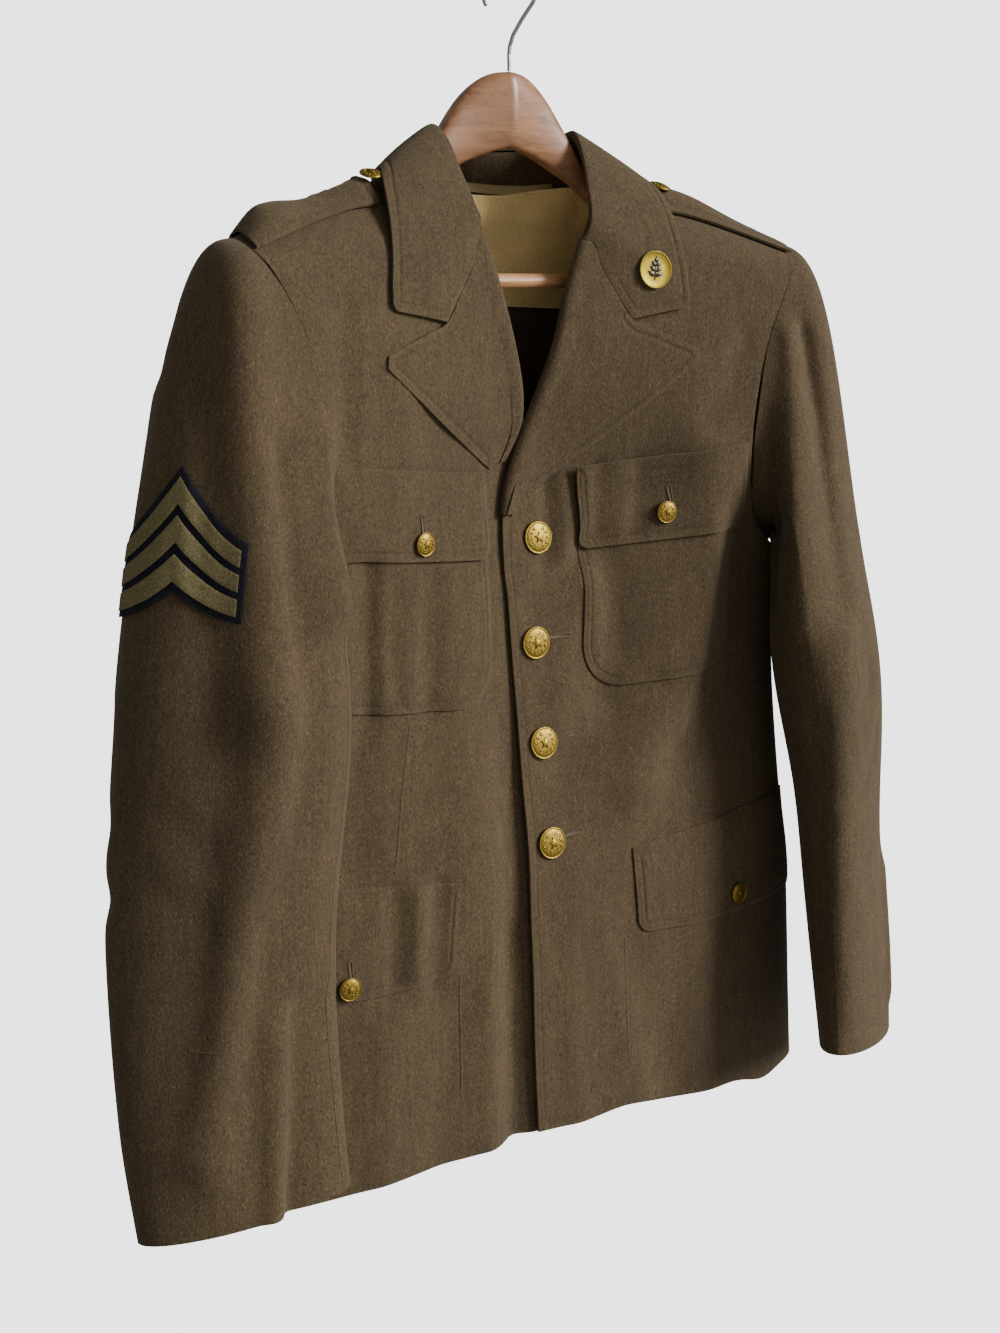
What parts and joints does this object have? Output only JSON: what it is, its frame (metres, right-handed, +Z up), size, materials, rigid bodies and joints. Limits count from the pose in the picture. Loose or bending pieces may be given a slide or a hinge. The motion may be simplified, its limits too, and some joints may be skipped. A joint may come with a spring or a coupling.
{
  "type": "military dress tunic on a wooden hanger",
  "caption": "Olive wool service tunic with notched collar, patch chest pockets, shoulder straps, sleeve chevrons and gilt buttons, hung on a shaped wooden hanger with a trouser bar.",
  "frame": {"origin": "inside top of the hanger's hook, where it rests on a rail", "axes": "+Z up, -Y the way that the tunic's front faces, +X the wearer's left"},
  "size_m": [0.6629, 0.1981, 0.8227],
  "materials": {
    "wool": "heathered olive-brown wool",
    "felt_navy": "navy felt",
    "felt_olive": "olive felt",
    "gilt": "gilt, struck in relief",
    "sateen": "khaki cotton sateen",
    "hanger_wood": "clear-varnished hardwood",
    "bar_wood": "light turned wood",
    "steel": "plain steel wire"
  },
  "bodies": {
    "root": {"back_left": "wool", "back_right": "wool", "chest_button_left": "gilt", "chest_button_right": "gilt", "chest_flap_left": "wool", "chest_flap_right": "wool", "chest_pocket_left": "wool", "chest_pocket_right": "wool", "chevron_backing_left": "felt_navy", "chevron_backing_right": "felt_navy", "chevron_stripe_left_1": "felt_olive", "chevron_stripe_left_2": "felt_olive", "chevron_stripe_left_3": "felt_olive", "chevron_stripe_right_1": "felt_olive", "chevron_stripe_right_2": "felt_olive", "chevron_stripe_right_3": "felt_olive", "collar_disk": "gilt", "collar_leaf": "wool", "collar_stand": "wool", "front_button_1": "gilt", "front_button_2": "gilt", "front_button_3": "gilt", "front_button_4": "gilt", "front_left": "wool", "front_right": "wool", "hanger_arms": "hanger_wood", "hanger_hook": "steel", "lapel_left": "wool", "lapel_right": "wool", "lower_button_left": "gilt", "lower_button_right": "gilt", "lower_flap_left": "wool", "lower_flap_right": "wool", "neck_loop": "wool", "shoulder_strap_left": "wool", "shoulder_strap_right": "wool", "strap_button_left": "gilt", "strap_button_right": "gilt", "top_sleeve_left": "wool", "top_sleeve_right": "wool", "trouser_bar": "bar_wood", "under_sleeve_left": "wool", "under_sleeve_right": "wool", "yoke_lining": "sateen"}
  },
  "joints": []
}
